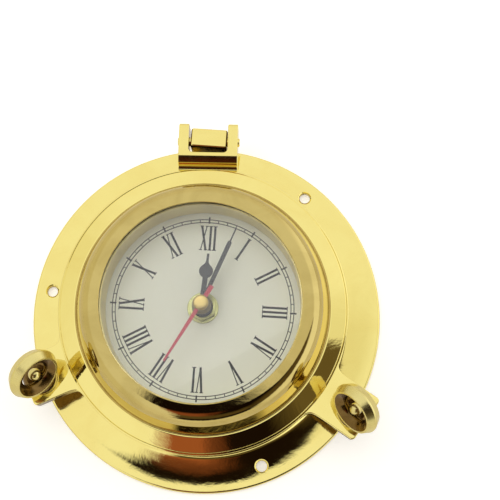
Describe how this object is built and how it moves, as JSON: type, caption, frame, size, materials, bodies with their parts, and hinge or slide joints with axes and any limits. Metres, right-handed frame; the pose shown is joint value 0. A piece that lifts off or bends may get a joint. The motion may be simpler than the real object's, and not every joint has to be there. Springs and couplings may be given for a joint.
{
  "type": "porthole clock",
  "caption": "Brass porthole clock: dished screw-on flange, hinged domed front ring with glass, eye screws that hold it shut, Roman dial and a quartz movement behind it.",
  "frame": {"origin": "centre of the flange's flat back, where the clock meets the wall", "axes": "+Z out of the wall through the glass, +Y from the centre to the hinge, +X to the right seen from the front"},
  "size_m": [0.15, 0.154, 0.0491],
  "materials": {
    "polished_brass": "mirror polished",
    "satin_brass": "satin turned",
    "clear_glass": "clear flat glass",
    "black_rubber": "matt",
    "dial_white": "printed card, matt",
    "plain_steel": "satin",
    "hand_grey": "satin dark grey",
    "hand_red": "satin red",
    "wheel_plastic": "moulded",
    "wheel_brass": "satin",
    "bonded_magnet": "moulded dark grey",
    "case_plastic": "moulded black",
    "knob_plastic": "moulded",
    "cell_sleeve": "plain green sleeve",
    "coil_copper": "enamelled wire",
    "board_green": "lacquered"
  },
  "bodies": {
    "base": {"base_casting": "polished_brass", "hinge_pin": "polished_brass", "dial_plate": "plain_steel", "dial_card": "dial_white", "dial_screw_1": "plain_steel", "dial_screw_2": "plain_steel", "dial_screw_3": "plain_steel", "dial_washer": "polished_brass", "dial_nut": "polished_brass", "rubber_washer": "black_rubber", "movement_case": "case_plastic", "movement_cover": "case_plastic", "battery_cell": "cell_sleeve", "contact_plus": "plain_steel", "contact_minus": "plain_steel", "motor_coil": "coil_copper", "motor_stator": "plain_steel", "circuit_board": "board_green", "quartz_crystal": "plain_steel"},
    "door": {"front_ring": "polished_brass", "glass_sleeve": "satin_brass", "glass_gasket": "black_rubber", "front_glass": "clear_glass"},
    "dog_rod_right_body": {"dog_rod_right": "polished_brass"},
    "dog_eye_right_body": {"dog_eye_right": "polished_brass"},
    "dog_rod_left_body": {"dog_rod_left": "polished_brass"},
    "dog_eye_left_body": {"dog_eye_left": "polished_brass"},
    "seconds": {"second_wheel": "plain_steel", "second_hand": "hand_red", "hand_cap": "polished_brass"},
    "minutes": {"minute_wheel": "wheel_brass", "minute_hand": "hand_grey"},
    "hours": {"hour_wheel": "wheel_brass", "hour_hand": "hand_grey"},
    "third": {"third_wheel": "wheel_plastic"},
    "intermediate": {"intermediate_wheel": "wheel_plastic"},
    "rotor": {"motor_rotor": "bonded_magnet"},
    "motion": {"motion_wheel": "wheel_plastic"},
    "knob": {"set_knob": "knob_plastic"}
  },
  "joints": [
    {"name": "door_hinge", "type": "hinge", "parent": "base", "child": "door", "pos_m": [0, 0.072, 0.023], "axis": [-1, 0, 0], "range_deg": [0, 105]},
    {"name": "dog_lift_right", "type": "slide", "parent": "door", "child": "dog_rod_right_body", "axis": [0, 0, 1], "range_m": [0, 0.003]},
    {"name": "dog_turn_right", "type": "hinge", "parent": "dog_rod_right_body", "child": "dog_eye_right_body", "pos_m": [0.06226, -0.04074, 0.039], "axis": [0, 0, 1], "range_deg": [0, 1081]},
    {"name": "dog_lift_left", "type": "slide", "parent": "door", "child": "dog_rod_left_body", "axis": [0, 0, 1], "range_m": [0, 0.003]},
    {"name": "dog_turn_left", "type": "hinge", "parent": "dog_rod_left_body", "child": "dog_eye_left_body", "pos_m": [-0.06527, -0.03016, 0.039], "axis": [0, 0, 1], "range_deg": [0, 1081]},
    {"name": "second_spin", "type": "hinge", "parent": "base", "child": "seconds", "pos_m": [0, 0, 0.012], "axis": [0, 0, -1], "continuous": true},
    {"name": "minute_spin", "type": "hinge", "parent": "base", "child": "minutes", "pos_m": [0, 0, 0.012], "axis": [0, 0, -1], "continuous": true},
    {"name": "hour_spin", "type": "hinge", "parent": "base", "child": "hours", "pos_m": [0, 0, 0.012], "axis": [0, 0, -1], "continuous": true},
    {"name": "third_spin", "type": "hinge", "parent": "base", "child": "third", "pos_m": [0.00046, 0.01149, 0.012], "axis": [0, 0, -1], "continuous": true},
    {"name": "intermediate_spin", "type": "hinge", "parent": "base", "child": "intermediate", "pos_m": [0.00899, -0.00036, 0.012], "axis": [0, 0, -1], "continuous": true},
    {"name": "rotor_spin", "type": "hinge", "parent": "base", "child": "rotor", "pos_m": [0.01546, 0.00561, 0.012], "axis": [0, 0, -1], "continuous": true},
    {"name": "motion_spin", "type": "hinge", "parent": "base", "child": "motion", "pos_m": [-0.00919, 0.00037, 0.012], "axis": [0, 0, -1], "continuous": true},
    {"name": "knob_spin", "type": "hinge", "parent": "base", "child": "knob", "pos_m": [-0.01697, 0.00529, 0.012], "axis": [0, 0, -1], "continuous": true}
  ],
  "couplings": [
    {"joint": "dog_turn_right", "follows": "dog_lift_right", "rad_per_m": 6283.2},
    {"joint": "dog_turn_left", "follows": "dog_lift_left", "rad_per_m": 6283.2},
    {"joint": "minute_spin", "follows": "second_spin", "ratio": 0.016667},
    {"joint": "hour_spin", "follows": "second_spin", "ratio": 0.0013889},
    {"joint": "third_spin", "follows": "second_spin", "ratio": -0.13333},
    {"joint": "intermediate_spin", "follows": "second_spin", "ratio": -5},
    {"joint": "rotor_spin", "follows": "second_spin", "ratio": 30},
    {"joint": "motion_spin", "follows": "second_spin", "ratio": -0.0055556},
    {"joint": "knob_spin", "follows": "second_spin", "ratio": 0.016667}
  ]
}
